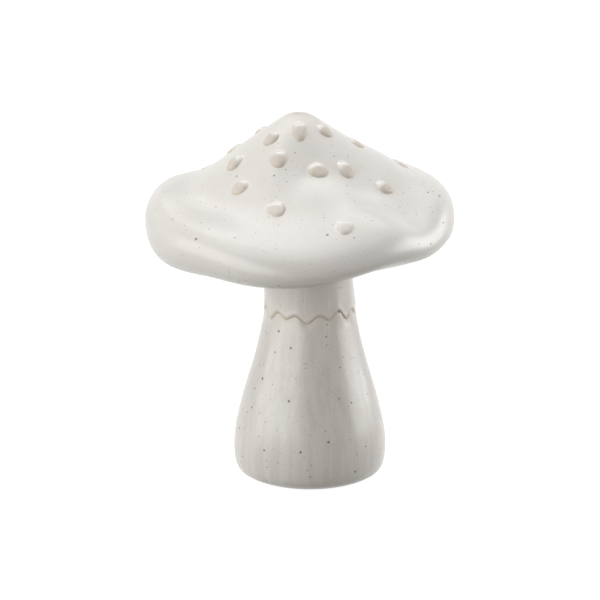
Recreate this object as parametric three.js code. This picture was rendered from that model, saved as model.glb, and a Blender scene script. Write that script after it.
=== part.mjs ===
// Glazed stoneware mushroom ornament, rebuilt from one photograph.
// Millimetres, +Z up, the front faces -Y, and the foot rests on z = 0.
// The cap and the stem are hollow castings that meet at a flat joint. A clay band
// with a scalloped hem is pressed round the neck, and clay pellets on the cap.
// The body is hollow right through the neck, and vents through a hole in the floor.
import * as THREE from 'three';

// Sizes that the pieces share
const FIT_GAP = 0.3;
const JOINT_Z = 75.7;
const NECK_R = 12.3;
const NECK_WALL = 2.5;
const BORE_R = NECK_R - NECK_WALL;
const STEM_X = 3.5;

// Scalloped band round the neck
const BAND_TOP_THICK = 1.2;
const BAND_THICK = 1.9;
const BAND_HEM_THICK = 2.4;
const BAND_INNER_R = NECK_R + FIT_GAP;
const BAND_TOP_R = BAND_INNER_R + BAND_TOP_THICK;
const HEM_R = BAND_INNER_R + BAND_HEM_THICK;
const HEM_DROP = 21.2;
const HEM_CUSP_Z = JOINT_Z - HEM_DROP;
const HEM_CUSP_AT = -93;
const HEM_DEPTH = 2.1;
const HEM_DEPTH_CHANGE = 0.5;
const HEM_CHANGE_COUNT = 3;
const HEM_CHANGE_AT = -46;
const HEM_LIP = 0.9;
const HEM_FLARE = 2.6;
const SCALLOPS = 13;
const STEPS_PER_SCALLOP = 6;

// Stem: the swell is what the stem adds to its shoulder, at even steps from belly to hem
const HEM_STEP = 0.4;
const SHOULDER_R = HEM_R - HEM_STEP;
const SHOULDER_DROP = 2.9;
const SHOULDER_Z = HEM_CUSP_Z - SHOULDER_DROP;
const BELLY_Z = 10;
const SWELL = [9.9, 9.3, 7.8, 5.9, 3.8, 2, 0.5];
const BELLY_R = SHOULDER_R + SWELL[0];
const FOOT_INSET = 7.5;
const FOOT_R = BELLY_R - FOOT_INSET;
const FOOT_WIDTH = 2.8;
const FOOT_INNER_R = FOOT_R - FOOT_WIDTH;
const STEM_WALL = 4.2;
const STEM_ROWS = 18;
const RECESS_DEPTH = 1.5;
const RECESS_SLOPE = 0.6;
const FLOOR_THICK = 3.5;
const FLOOR_TOP_Z = RECESS_DEPTH + FLOOR_THICK;
const CAVITY_CORNER = 1.8;
const BORE_TAPER = 3.5;
const VENT_R = 4;

// Cap: outline as radius and height over the joint, from the apex round the rim to the
// flat land that seats on the neck, before the brim is waved
const LAND_WIDTH = 2.7;
const LAND_R = BAND_TOP_R + LAND_WIDTH;
const RIM_R = 49.5;
const CAP_RISE = 43.5;
const CAP_WALL = 3.6;
const CAP_OUTLINE = [
  [0, CAP_RISE],
  [4, CAP_RISE - 0.7],
  [13.8, 36.3],
  [26.7, 27.9],
  [34.8, 22.3],
  [RIM_R - 3.5, 17],
  [RIM_R, 9.2],
  [RIM_R - 2.5, 1.9],
  [35.3, -2.2],
  [24.1, -2],
  [LAND_R, 0],
];
const RIM_INDEX = 6;
const CAP_STEPS = 64;
const CAP_OUTER_ROWS = 32;
const CAP_INNER_ROWS = 18;

// The brim and the flank lean: how far they rise, and the azimuth of the high side in degrees
const BRIM_LEAN = { rise: 3.3, high: 48 };
const FLANK_LEAN = { rise: 0.9, high: 0 };
// Dents in the brim: azimuth and width in degrees, pull inwards, push up. Below 0 is out and down.
const BRIM_DENTS = [
  { at: -91, width: 39, pull: -3.5, up: 0.9 },
  { at: -55, width: 18, pull: -0.8, up: 3 },
  { at: -130, width: 18, pull: 1.4, up: 1.6 },
  { at: 172, width: 23, pull: 0.7, up: 3.3 },
  { at: 97, width: 16, pull: 2.2, up: 1.5 },
  { at: 30, width: 15, pull: 1.7, up: 0.3 },
];
// Thumb presses on top: azimuth and width in degrees, distance from the apex, spread down
// the slope, and depth. The brim has them all along its front, and one raised place.
const THUMB_PRESSES = [
  { at: -36, width: 18, distance: RIM_R - 5, spread: 9, depth: 5.6 },
  { at: -62, width: 12, distance: RIM_R - 1.5, spread: 6, depth: 2.5 },
  { at: -87, width: 22, distance: RIM_R - 4, spread: 10, depth: 3.6 },
  { at: -91, width: 39, distance: RIM_R - 3.5, spread: 13, depth: 1.9 },
  { at: -125, width: 21, distance: RIM_R - 7.5, spread: 9, depth: 1.6 },
  { at: -170, width: 11, distance: RIM_R - 1, spread: 9.5, depth: -1.6 },
  { at: -46, width: 24, distance: 28, spread: 11, depth: 4.4 },
  { at: -79, width: 24, distance: 19.5, spread: 7, depth: 3.8 },
  { at: -100, width: 18, distance: 30, spread: 9, depth: 2.9 },
  { at: -136, width: 24, distance: 27.5, spread: 11, depth: 4.5 },
  { at: 65, width: 24, distance: 27, spread: 11, depth: 3.5 },
  { at: 115, width: 24, distance: 27, spread: 11, depth: 3.5 },
];
// Where the leans and the dents begin, peak and end. The presses reach only the top.
const FLANK_START_R = 10;
const FLANK_PEAK_R = 27;
const WAVE_START_R = LAND_R + 0.5;
const DENT_START_R = 26;
const WAVE_FULL_R = RIM_R - 3.5;
const TOP_FADE_LOW = 3;
const TOP_FADE_HIGH = 12;
// The neck stands beside the line of the apex, so the underside is drawn across to it
const LEAN_NEAR_R = LAND_R + 1.5;
const LEAN_FAR_R = 34;
const LEAN_LOW = 4.3;
const LEAN_HIGH = 22.3;

// Pellets on the cap: azimuth in degrees, distance from the apex, length down the slope, width
const PELLETS = [
  [-88, 8.7, 8.2, 5],
  [-136, 11.8, 6.2, 5],
  [-35, 9.8, 5.8, 4.6],
  [-159, 21.5, 6.4, 5.4],
  [-111, 17.5, 6.6, 5.6],
  [-72, 19, 6, 6.5],
  [-46, 21.1, 6.4, 5.8],
  [-137, 25, 6.4, 5.8],
  [-30, 30.8, 5.8, 4.8],
  [-103, 30.7, 6.2, 6.3],
  [-71, RIM_R - 8.9, 6, 6],
  [165, 21.3, 6.2, 5.6],
  [157, 13, 5.4, 4.8],
  [-3, 18, 6, 5],
  [12, 33, 6.2, 5.8],
  [64, 13, 6.4, 5.6],
  [112, 18, 6.4, 6],
  [54, 25.5, 6, 6.2],
  [90, 29.5, 6.6, 6],
  [128, 27.5, 6.2, 5.8],
  [148, 34, 6, 6.2],
  [72, RIM_R - 7.5, 6.2, 6],
];
const PELLET_RISE = 1.3;
const PELLET_EDGE_RISE = 0.65;
const PELLET_DOME_POWER = 3;
const PELLET_STEPS = 10;
const PELLET_TOP_RINGS = [0.5, 0.85, 1];
const PELLET_BASE_RING = 0.55;
const SEARCH_PASSES = 40;
const SLOPE_STEP = 0.05;

const radians = THREE.MathUtils.degToRad;
const blend = THREE.MathUtils.smoothstep;
const lerp = THREE.MathUtils.lerp;
const wrap = THREE.MathUtils.euclideanModulo;

function leanRise(lean, azimuth) {
  return lean.rise * Math.cos(azimuth - radians(lean.high));
}

// From 1 in the middle of a dent or press to 0 well past its width
function fadeAround(mark, azimuth) {
  const away = wrap(azimuth - radians(mark.at) + Math.PI, 2 * Math.PI) - Math.PI;
  const share = away / radians(mark.width);
  return Math.exp(-share * share);
}

function dentSum(key, azimuth) {
  return BRIM_DENTS.reduce((sum, dent) => sum + dent[key] * fadeAround(dent, azimuth), 0);
}

function pressSum(radius, azimuth) {
  return THUMB_PRESSES.reduce((sum, press) => {
    const share = (radius - press.distance) / press.spread;
    return sum + press.depth * Math.exp(-share * share) * fadeAround(press, azimuth);
  }, 0);
}

// A point of the plain round cap, carried to where its leans, dents and presses put it.
// Everything fades out towards the apex and the neck.
function capPoint(radius, height, azimuth) {
  const wave = blend(radius, WAVE_START_R, WAVE_FULL_R);
  const dent = blend(radius, DENT_START_R, WAVE_FULL_R);
  const flankRise = blend(radius, FLANK_START_R, FLANK_PEAK_R);
  const flankFall = 1 - blend(radius, FLANK_PEAK_R, WAVE_FULL_R);
  const upper = blend(height, TOP_FADE_LOW, TOP_FADE_HIGH);
  const reach = radius - dentSum('pull', azimuth) * dent;
  let z = JOINT_Z + height;
  z += leanRise(BRIM_LEAN, azimuth) * wave + dentSum('up', azimuth) * dent;
  z += leanRise(FLANK_LEAN, azimuth) * flankRise * flankFall * upper;
  z -= pressSum(radius, azimuth) * upper;
  const near = 1 - blend(radius, LEAN_NEAR_R, LEAN_FAR_R);
  const low = 1 - blend(height, LEAN_LOW, LEAN_HIGH);
  const x = reach * Math.cos(azimuth) + STEM_X * near * low;
  return new THREE.Vector3(x, reach * Math.sin(azimuth), z);
}

function stemPoint(radius, z, azimuth) {
  return new THREE.Vector3(STEM_X + radius * Math.cos(azimuth), radius * Math.sin(azimuth), z);
}

// Height of the hem: rounded arcs between low cusps, some deeper than others
function hemHeight(azimuth) {
  const turn = SCALLOPS * (azimuth - radians(HEM_CUSP_AT)) / 2;
  const arch = Math.abs(Math.sin(turn));
  const change = Math.cos(HEM_CHANGE_COUNT * (azimuth - radians(HEM_CHANGE_AT)));
  const depth = HEM_DEPTH + HEM_DEPTH_CHANGE * change;
  return HEM_CUSP_Z + depth * (arch + arch * arch) / 2;
}

function ring(steps, pointAt) {
  return Array.from({ length: steps }, (_, step) => pointAt(2 * Math.PI * step / steps));
}

// Closed body from rings of points, each at the same azimuths. A ring of one point is a
// pole. A body without poles closes from its last ring to its first.
function bodyFromRings(rings) {
  const corners = [];
  const faces = [];
  const starts = [];
  for (const points of rings) {
    starts.push(corners.length / 3);
    for (const point of points) {
      corners.push(point.x, point.y, point.z);
    }
  }
  const hasPoles = rings[0].length === 1;
  const bands = hasPoles ? rings.length - 1 : rings.length;
  for (let band = 0; band < bands; band += 1) {
    const next = (band + 1) % rings.length;
    const here = rings[band].length;
    const there = rings[next].length;
    for (let step = 0; step < Math.max(here, there); step += 1) {
      const a = starts[band] + step % here;
      const b = starts[band] + (step + 1) % here;
      const c = starts[next] + step % there;
      const d = starts[next] + (step + 1) % there;
      if (a !== b) {
        faces.push(a, c, b);
      }
      if (c !== d) {
        faces.push(b, c, d);
      }
    }
  }
  const geometry = new THREE.BufferGeometry();
  geometry.setAttribute('position', new THREE.Float32BufferAttribute(corners, 3));
  geometry.setIndex(faces);
  geometry.computeVertexNormals();
  return geometry;
}

function smoothCurve(outline) {
  return new THREE.SplineCurve(outline.map(([radius, height]) => new THREE.Vector2(radius, height)));
}

const capCurve = smoothCurve(CAP_OUTLINE);

// The cap's outline moved in by its wall
function capInnerOutline(share) {
  const point = capCurve.getPoint(share);
  const along = capCurve.getTangent(share);
  return new THREE.Vector2(point.x + CAP_WALL * along.y, point.y - CAP_WALL * along.x);
}

function makeCap() {
  const pole = (height) => [new THREE.Vector3(0, 0, JOINT_Z + height)];
  const capRing = (radius, height) => ring(CAP_STEPS, (azimuth) => capPoint(radius, height, azimuth));
  const rings = [pole(CAP_RISE)];
  for (let index = 1; index <= CAP_OUTER_ROWS; index += 1) {
    const point = capCurve.getPoint(index / CAP_OUTER_ROWS);
    rings.push(capRing(point.x, point.y));
  }
  rings.push(capRing(BORE_R, 0));
  rings.push(capRing(BORE_R, CAP_WALL));
  for (let index = CAP_INNER_ROWS; index >= 1; index -= 1) {
    const point = capInnerOutline(index / CAP_INNER_ROWS);
    rings.push(capRing(point.x, point.y));
  }
  rings.push(pole(CAP_RISE - CAP_WALL));
  return bodyFromRings(rings);
}

function neckRing(radius, z) {
  return ring(SCALLOPS * STEPS_PER_SCALLOP, (azimuth) => stemPoint(radius, z, azimuth));
}

function hemRing(radius, above) {
  const steps = SCALLOPS * STEPS_PER_SCALLOP;
  return ring(steps, (azimuth) => stemPoint(radius, hemHeight(azimuth) + above, azimuth));
}

// The neck is cut back under the band, and the cut's ledge follows the hem
function makeStem() {
  const swell = SWELL.map((extra, index) => {
    const z = lerp(BELLY_Z, SHOULDER_Z, index / (SWELL.length - 1));
    return [SHOULDER_R + extra, z];
  });
  const outline = smoothCurve([
    [FOOT_R, 0],
    [BELLY_R - 3.2, 1.6],
    [BELLY_R - 0.8, 3.9],
    ...swell,
  ]);
  const rings = [];
  rings.push(neckRing(BORE_R, JOINT_Z));
  rings.push(neckRing(NECK_R, JOINT_Z));
  rings.push(hemRing(NECK_R, -FIT_GAP));
  rings.push(hemRing(SHOULDER_R, -FIT_GAP));
  for (let index = STEM_ROWS; index >= 0; index -= 1) {
    const point = outline.getPoint(index / STEM_ROWS);
    rings.push(neckRing(point.x, point.y));
  }
  rings.push(neckRing(FOOT_INNER_R, 0));
  rings.push(neckRing(FOOT_INNER_R - RECESS_SLOPE, RECESS_DEPTH));
  rings.push(neckRing(VENT_R, RECESS_DEPTH));
  rings.push(neckRing(VENT_R, FLOOR_TOP_Z));
  rings.push(neckRing(BELLY_R - STEM_WALL - CAVITY_CORNER, FLOOR_TOP_Z));
  for (const [radius, z] of swell) {
    rings.push(neckRing(radius - STEM_WALL, z));
  }
  rings.push(neckRing(BORE_R, HEM_CUSP_Z + BORE_TAPER));
  return bodyFromRings(rings);
}

function makeBand() {
  return bodyFromRings([
    neckRing(BAND_INNER_R, JOINT_Z),
    neckRing(BAND_TOP_R, JOINT_Z),
    hemRing(BAND_INNER_R + BAND_THICK, HEM_FLARE),
    hemRing(HEM_R, HEM_LIP),
    hemRing(HEM_R, 0),
    hemRing(BAND_INNER_R, 0),
  ]);
}

// Height of the cap's upper outline at a distance from the apex
function outlineHeight(radius) {
  let low = 0;
  let high = RIM_INDEX / (CAP_OUTLINE.length - 1);
  for (let pass = 0; pass < SEARCH_PASSES; pass += 1) {
    const middle = (low + high) / 2;
    if (capCurve.getPoint(middle).x < radius) {
      low = middle;
    } else {
      high = middle;
    }
  }
  return capCurve.getPoint(low).y;
}

function capTop(radius, azimuth) {
  return capPoint(radius, outlineHeight(radius), azimuth);
}

function capNormal(radius, azimuth) {
  const turn = SLOPE_STEP / radius;
  const outwards = capTop(radius + SLOPE_STEP, azimuth).sub(capTop(radius - SLOPE_STEP, azimuth));
  const around = capTop(radius, azimuth + turn).sub(capTop(radius, azimuth - turn));
  return outwards.cross(around).normalize();
}

// A pressed pellet follows the cap under it and domes towards its middle
function makePellet(azimuth, distance, length, width) {
  const slope = capNormal(distance, azimuth).z;
  const place = (across, turn, rise) => {
    const outwards = distance + across * length / 2 * Math.cos(turn) * slope;
    const sideways = across * width / 2 * Math.sin(turn);
    const radius = Math.hypot(outwards, sideways);
    const angle = azimuth + Math.atan2(sideways, outwards);
    return capTop(radius, angle).addScaledVector(capNormal(radius, angle), rise);
  };
  const rings = [[place(0, 0, PELLET_RISE)]];
  for (const across of PELLET_TOP_RINGS) {
    const rise = lerp(PELLET_RISE, PELLET_EDGE_RISE, across ** PELLET_DOME_POWER);
    rings.push(ring(PELLET_STEPS, (turn) => place(across, turn, rise)));
  }
  rings.push(ring(PELLET_STEPS, (turn) => place(1, turn, FIT_GAP)));
  rings.push(ring(PELLET_STEPS, (turn) => place(PELLET_BASE_RING, turn, FIT_GAP)));
  rings.push([place(0, 0, FIT_GAP)]);
  return bodyFromRings(rings);
}

function glaze(color, roughness) {
  return new THREE.MeshStandardMaterial({ color, roughness, metalness: 0 });
}

function addPiece(group, name, geometry, material) {
  const mesh = new THREE.Mesh(geometry, material);
  mesh.name = name;
  group.add(mesh);
}

const mushroom = new THREE.Group();
mushroom.name = 'mushroom_ornament';
addPiece(mushroom, 'cap', makeCap(), glaze(0xe2dfd8, 0.35));
addPiece(mushroom, 'stem', makeStem(), glaze(0xdedad2, 0.35));
addPiece(mushroom, 'skirt', makeBand(), glaze(0xdad5cc, 0.35));
PELLETS.forEach(([degrees, distance, length, width], index) => {
  const name = `spot_${String(index + 1).padStart(2, '0')}`;
  addPiece(mushroom, name, makePellet(radians(degrees), distance, length, width), glaze(0xddd3c4, 0.4));
});

// The middle of the whole object's outer box stands over the origin
const middle = new THREE.Box3().setFromObject(mushroom).getCenter(new THREE.Vector3());
for (const mesh of mushroom.children) {
  mesh.geometry.translate(-middle.x, -middle.y, 0);
}

export default mushroom;
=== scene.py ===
# %% [markdown]
# A stoneware mushroom ornament, glazed in speckled off-white.
# The real one is two hollow castings joined at the neck, a clay band with a scalloped
# hem pressed round the neck, and clay pellets pressed on the cap before it is glazed.
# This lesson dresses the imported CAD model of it. The CAD nodes are left as they are,
# and a finer piece of the same size is made for each of them.
# Lengths below are in millimetres and become metres where a mesh or a tree is made.

import math

import bpy
import numpy as np
from mathutils import Matrix, Vector


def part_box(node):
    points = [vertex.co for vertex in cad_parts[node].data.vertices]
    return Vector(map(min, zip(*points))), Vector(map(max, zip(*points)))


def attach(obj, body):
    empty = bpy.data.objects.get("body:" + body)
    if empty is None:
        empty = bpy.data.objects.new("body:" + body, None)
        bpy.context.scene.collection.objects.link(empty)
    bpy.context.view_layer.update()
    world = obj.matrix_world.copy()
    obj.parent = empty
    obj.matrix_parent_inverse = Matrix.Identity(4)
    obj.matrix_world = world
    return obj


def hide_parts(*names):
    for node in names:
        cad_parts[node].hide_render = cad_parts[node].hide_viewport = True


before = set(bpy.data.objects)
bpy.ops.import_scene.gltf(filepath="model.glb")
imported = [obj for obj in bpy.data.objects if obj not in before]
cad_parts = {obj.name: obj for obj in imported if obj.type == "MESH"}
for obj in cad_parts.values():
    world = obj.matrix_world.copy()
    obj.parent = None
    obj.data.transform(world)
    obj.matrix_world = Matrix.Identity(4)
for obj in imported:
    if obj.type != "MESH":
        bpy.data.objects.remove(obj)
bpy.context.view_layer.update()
MM = 0.001

# %% [markdown]
# The stem stands a few millimetres to one side of the line through the apex, as it does
# on the real piece. The CAD node of the stem says where its axis is, so that the new
# pieces stand on the same spot as the old ones.

# %% Axes of the stem and the cap, measured on the CAD frame
STEM_X = 3.5 * MM
stem_low, stem_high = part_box("stem")
stem_axis = (stem_low + stem_high) / 2
stem_axis.z = 0
cap_axis = Vector((stem_axis.x - STEM_X, stem_axis.y, 0))
SPOT_NODES = sorted(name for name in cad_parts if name.startswith("spot_"))
print("stem axis, mm:", round(stem_axis.x / MM, 3), round(stem_axis.y / MM, 3))
print("spots:", len(SPOT_NODES))

# %% [markdown]
# A thrown or cast body of revolution is a line turned round an axis. Only a few points
# of that line matter to the eye, and a smooth curve through them gives the rest. It
# is cut again into even steps, so that the faces are nearly square.

# %% A smooth line through a few points, in even steps
CURVE_CUTS = 60


def smooth_line(points, step, rounding=0.0):
    """Points at even steps along the smooth curve through these. Rounding softens bends, in mm."""
    points = np.array(points, float)
    padded = np.vstack([points[:1], points, points[-1:]])
    fine = []
    for p0, p1, p2, p3 in zip(padded, padded[1:], padded[2:], padded[3:]):
        t = np.linspace(0, 1, CURVE_CUTS, endpoint=False)[:, None]
        out, back = (p2 - p0) / 2, (p3 - p1) / 2
        a = 2 * p1 - 2 * p2 + out + back
        b = -3 * p1 + 3 * p2 - 2 * out - back
        fine.append(a * t**3 + b * t**2 + out * t + p1)
    fine = even_steps(np.vstack(fine + [points[-1:]]), step)
    # Each stroke mixes a point with its two neighbours, and n strokes reach sqrt(n / 2) steps far.
    for _ in range(int(round(2 * (rounding / step) ** 2))):
        fine[1:-1] = fine[1:-1] / 2 + (fine[:-2] + fine[2:]) / 4
    return fine


def even_steps(line, step):
    """The same line with its points about this far apart."""
    lengths = np.hypot(*np.diff(line, axis=0).T)
    along = np.concatenate([[0], np.cumsum(lengths)])
    places = np.linspace(0, along[-1], max(2, int(round(along[-1] / step)) + 1))
    return np.column_stack([np.interp(places, along, line[:, k]) for k in (0, 1)])


# %% [markdown]
# Meshes, lamps and the camera all come into the scene in the same way. The volume of a
# mesh tells whether its faces point outwards.


# %% Standing a thing in the scene, and measuring a mesh
def stand(name, data):
    """An object for this mesh, lamp or camera, at the origin."""
    thing = bpy.data.objects.new(name, data)
    bpy.context.scene.collection.objects.link(thing)
    return thing


def volume_ml(mesh):
    """Volume that the faces enclose, in millilitres. Below 0 the faces point inwards."""
    mesh.calc_loop_triangles()
    points = np.array([vertex.co for vertex in mesh.vertices])
    corners = points[np.array([triangle.vertices for triangle in mesh.loop_triangles])]
    crossed = np.cross(corners[:, 1], corners[:, 2])
    return float(np.einsum("ij,ij->i", corners[:, 0], crossed).sum()) / 6 * 1e6


# %% [markdown]
# Turning the line makes the mesh. Each row of the line becomes a ring of points, a row
# at radius 0 becomes a single pole, and a line that has no poles is closed from its last
# ring to its first. Besides its place, a row carries how thin the glaze lies there, how
# much of the clay is bare, and how far it follows the scallops of the hem.


# %% Rows of a turned body, and the mesh they make
def rows(line, thin=0.0, bare=0.0, hem=0.0):
    """Rows of radius, height and three extras. An extra is one number for all rows, or a list."""
    line = np.atleast_2d(np.array(line, float))
    extras = [np.broadcast_to(np.array(value, float), len(line)) for value in (thin, bare, hem)]
    return np.column_stack([line, *extras])


def keep(mesh, values):
    """Keeps a list of numbers, one for each point, under each of these names."""
    for key, numbers in values.items():
        mesh.attributes.new(key, "FLOAT", "POINT").data.foreach_set("value", numbers)


def ring_mesh(name, corners, counts, values):
    """Rings of points, each joined to the next. A ring of one point is a pole."""
    steps, faces = max(counts), []
    starts = [sum(counts[:ring]) for ring in range(len(counts))]
    has_poles = counts[0] == 1
    for ring in range(len(counts) - has_poles):
        below = (ring + 1) % len(counts)
        for step in range(steps):
            after = (step + 1) % steps
            a, b = (starts[ring] + turn % counts[ring] for turn in (step, after))
            c, d = (starts[below] + turn % counts[below] for turn in (step, after))
            faces.append(list(dict.fromkeys((a, c, d, b))))
    mesh = bpy.data.meshes.new(name)
    mesh.from_pydata(corners, [], faces)
    keep(mesh, values)
    return mesh


def turned(name, table, steps):
    """A closed body turned from these rows, in metres, with the row's extras as point attributes."""
    corners, extras, counts = [], [], []
    for radius, height, *more in table:
        counts.append(1 if radius == 0 else steps)
        for step in range(counts[-1]):
            turn = 2 * math.pi * step / steps
            corners.append((radius * math.cos(turn) * MM, radius * math.sin(turn) * MM, height * MM))
            extras.append(more)
    mesh = ring_mesh(name, corners, counts, dict(zip(("thin", "bare", "hem"), zip(*extras))))
    mesh.shade_smooth()
    print(name, "rows:", len(table), "volume, ml:", round(volume_ml(mesh), 2))
    return stand(name, mesh)


# %% [markdown]
# Node trees are drawings of a sum. These small helpers let a tree be written down almost
# as the sum itself: each one adds a node, wires numbers or sockets to it, and gives back
# its output. They work in Geometry Nodes and in shader trees alike.


# %% Helpers that write node trees
def put(tree, socket, value):
    """Wires a socket into this one, or sets its plain value."""
    if isinstance(value, bpy.types.NodeSocket):
        tree.links.new(value, socket)
    else:
        socket.default_value = value


def add(tree, kind, inputs=None, **settings):
    """A node of this kind with its settings and its inputs, given by name or by place."""
    made = tree.nodes.new(kind)
    for key, value in settings.items():
        setattr(made, key, value)
    for key, value in (inputs or {}).items():
        put(tree, made.inputs[key], value)
    return made


def calc(tree, operation, *values):
    """A Math node on these values."""
    return add(tree, "ShaderNodeMath", dict(enumerate(values)), operation=operation).outputs[0]


def chained(tree, operation, values):
    """A row of Math nodes that takes in one value after another."""
    result = values[0]
    for value in values[1:]:
        result = calc(tree, operation, result, value)
    return result


def plus(tree, *values):
    """The sum of these values."""
    return chained(tree, "ADD", values)


def times(tree, *values):
    """Their product."""
    return chained(tree, "MULTIPLY", values)


def minus(tree, value, other):
    """The first value less the second."""
    return calc(tree, "SUBTRACT", value, other)


def vector_calc(tree, operation, *values):
    """A Vector Math node that gives a vector."""
    return add(tree, "ShaderNodeVectorMath", dict(enumerate(values)), operation=operation).outputs[0]


def stretched(tree, vector, factor):
    """A vector times a number."""
    return add(tree, "ShaderNodeVectorMath", {0: vector, "Scale": factor}, operation="SCALE").outputs[0]


def eased(tree, value, low, high, start=0.0, end=1.0):
    """start below low, end above high, and a smooth step between them."""
    inputs = {"Value": value, "From Min": low, "From Max": high, "To Min": start, "To Max": end}
    return add(tree, "ShaderNodeMapRange", inputs, interpolation_type="SMOOTHSTEP").outputs["Result"]


def faded(tree, value, span, start=0.0, end=1.0):
    """The same, over a span in mm."""
    return eased(tree, value, span[0] * MM, span[1] * MM, start, end)


# %% [markdown]
# In Geometry Nodes a socket often holds a field: a rule that gives every point its own
# number or place. These helpers read such fields, keep them on the mesh under a name,
# and move the points by them.


# %% Helpers for fields
def here(tree):
    """The place of each point, in Geometry Nodes."""
    return add(tree, "GeometryNodeInputPosition").outputs[0]


def reach_of(tree, where):
    """How far a place is from the upright axis."""
    flat = vector_calc(tree, "MULTIPLY", where, (1.0, 1.0, 0.0))
    return add(tree, "ShaderNodeVectorMath", {0: flat}, operation="LENGTH").outputs["Value"]


def read(tree, name, kind="FLOAT"):
    """A named attribute of the mesh, in Geometry Nodes."""
    return add(tree, "GeometryNodeInputNamedAttribute", {"Name": name}, data_type=kind).outputs["Attribute"]


def store(tree, geometry, name, value, kind):
    """Keeps a value on the points under this name."""
    inputs = {"Geometry": geometry, "Name": name, "Value": value}
    return add(tree, "GeometryNodeStoreNamedAttribute", inputs, data_type=kind, domain="POINT").outputs[0]


def move(tree, geometry, **where):
    """The geometry with its points at a new Position, or shifted by an Offset."""
    return add(tree, "GeometryNodeSetPosition", {"Geometry": geometry, **where}).outputs[0]


# %% [markdown]
# Sizes go into a tree through named sockets, so that one tree or node group can serve
# several pieces with other values. Each tree here ends in real meshes and a glaze,
# because copies that are still instances would be lost in an export.

# %% Helpers that make trees and node groups
SOCKETS = {"float": "NodeSocketFloat", "vector": "NodeSocketVector", "color": "NodeSocketColor",
           "geometry": "NodeSocketGeometry", "object": "NodeSocketObject", "material": "NodeSocketMaterial"}


def floats(*labels):
    """Number sockets of these names."""
    return [(label, "float") for label in labels]


def new_tree(name, kind, inputs, outputs):
    """A tree or node group with these named sockets. Gives the tree, its inputs and its output node."""
    tree = bpy.data.node_groups.new(name, kind)
    for label, socket in inputs:
        tree.interface.new_socket(label, in_out="INPUT", socket_type=SOCKETS[socket])
    for label, socket in outputs:
        tree.interface.new_socket(label, in_out="OUTPUT", socket_type=SOCKETS[socket])
    given = tree.nodes.new("NodeGroupInput").outputs
    return tree, given, tree.nodes.new("NodeGroupOutput").inputs


def shape_tree(name, numbers, *others):
    """A tree that changes a mesh by these numbers and glazes it."""
    inputs = [("Geometry", "geometry"), *others, *floats(*numbers), ("Glaze", "material")]
    return new_tree(name, "GeometryNodeTree", inputs, [("Geometry", "geometry")])


def close_tree(tree, geometry, given, out):
    """The end of such a tree: instances become real, and the glaze goes on."""
    real = add(tree, "GeometryNodeRealizeInstances", {"Geometry": geometry}).outputs[0]
    glazed = add(tree, "GeometryNodeSetMaterial", {"Geometry": real, "Material": given["Glaze"]})
    put(tree, out["Geometry"], glazed.outputs[0])
    return tree


def place(tree, group, inputs):
    """A node group put into another tree with its own values."""
    kind = "GeometryNodeGroup" if tree.bl_idname == "GeometryNodeTree" else "ShaderNodeGroup"
    made = tree.nodes.new(kind)
    made.node_tree = group
    for key, value in inputs.items():
        put(tree, made.inputs[key], value)
    return made.outputs


# %% [markdown]
# A tree works as a modifier. Its inputs are set by their identifiers before the object is
# first evaluated, the result becomes a plain mesh, and the modifier goes again.


# %% Growing a mesh by a tree
def grow(thing, tree, values):
    """Runs a Geometry Nodes tree on an object and keeps its result as the object's plain mesh."""
    modifier = thing.modifiers.new(tree.name, "NODES")
    modifier.node_group = tree
    for item in tree.interface.items_tree:
        if item.item_type == "SOCKET" and item.in_out == "INPUT" and item.name in values:
            modifier[item.identifier] = values[item.name]
    graph = bpy.context.evaluated_depsgraph_get()
    evaluated = thing.evaluated_get(graph)
    mesh = bpy.data.meshes.new_from_object(evaluated, preserve_all_data_layers=True, depsgraph=graph)
    thing.modifiers.remove(modifier)
    thing.data = mesh
    mesh.shade_smooth()
    print(thing.name, "points:", len(mesh.vertices), "volume, ml:", round(volume_ml(mesh), 3))


# %% [markdown]
# The glaze is a satin off-white over a buff stoneware with iron in it. Iron grains burn
# through it as brown specks: many faint ones under half a millimetre across, and a few
# dark ones of up to a millimetre. Where the glaze runs thin, over a sharp edge or a
# pressed pellet, the warm clay shows through and the surface is duller. On the upright
# stem it ran down in faint warm streaks. All four finishes need the same effect, so it
# is one node group. It only puts out colour, roughness, gloss and height.

# %% Sizes, strengths and colours of the glaze
GLAZE = (0.775, 0.752, 0.712, 1)
GLAZE_SHADE = (0.735, 0.705, 0.655, 1)
THIN_GLAZE = (0.63, 0.545, 0.45, 1)
RUN_SHADE = (0.66, 0.61, 0.54, 1)
CLAY = (0.62, 0.53, 0.42, 1)
SMEAR_TINT = (0.60, 0.52, 0.42, 1)
FINE_SPECK = (0.40, 0.31, 0.22, 1)
BROWN_SPECK = (0.21, 0.155, 0.105, 1)
DARK_SPECK = (0.05, 0.038, 0.028, 1)
# Specks: size of the cell that holds one, least and largest radius in mm, colour, strength.
SPECKS = {"Fine": (1.05, 0.12, 0.26, FINE_SPECK, 0.5), "Brown": (2.4, 0.18, 0.40, BROWN_SPECK, 0.7),
          "Dark": (4.0, 0.28, 0.62, DARK_SPECK, 0.9)}
SPECK_CORE = 0.6
SPECK_FAINTEST = 0.55
# Bends of the outlines of specks and smears: bends to a mm, and how far they reach in mm.
BEND_SCALE = 1.4
BEND = 0.22
# Patches of noise: size of a lump in mm, and the noise at which one begins and is full.
DRIFT = (24.0, 0.38, 0.66)
MOTTLE = (3.4, 0.35, 0.75)
RUN = (2.4, 0.40, 0.62)
SMEAR = (2.6, 0.70, 0.80)
DRIFT_STRENGTH = 0.45
MOTTLE_STRENGTH = 0.30
RUN_SQUEEZE = 0.07
RAGGED_SIZE = 1.2
GRAIN_SIZE = 0.5
PEEL_SIZE = 1.5
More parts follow.
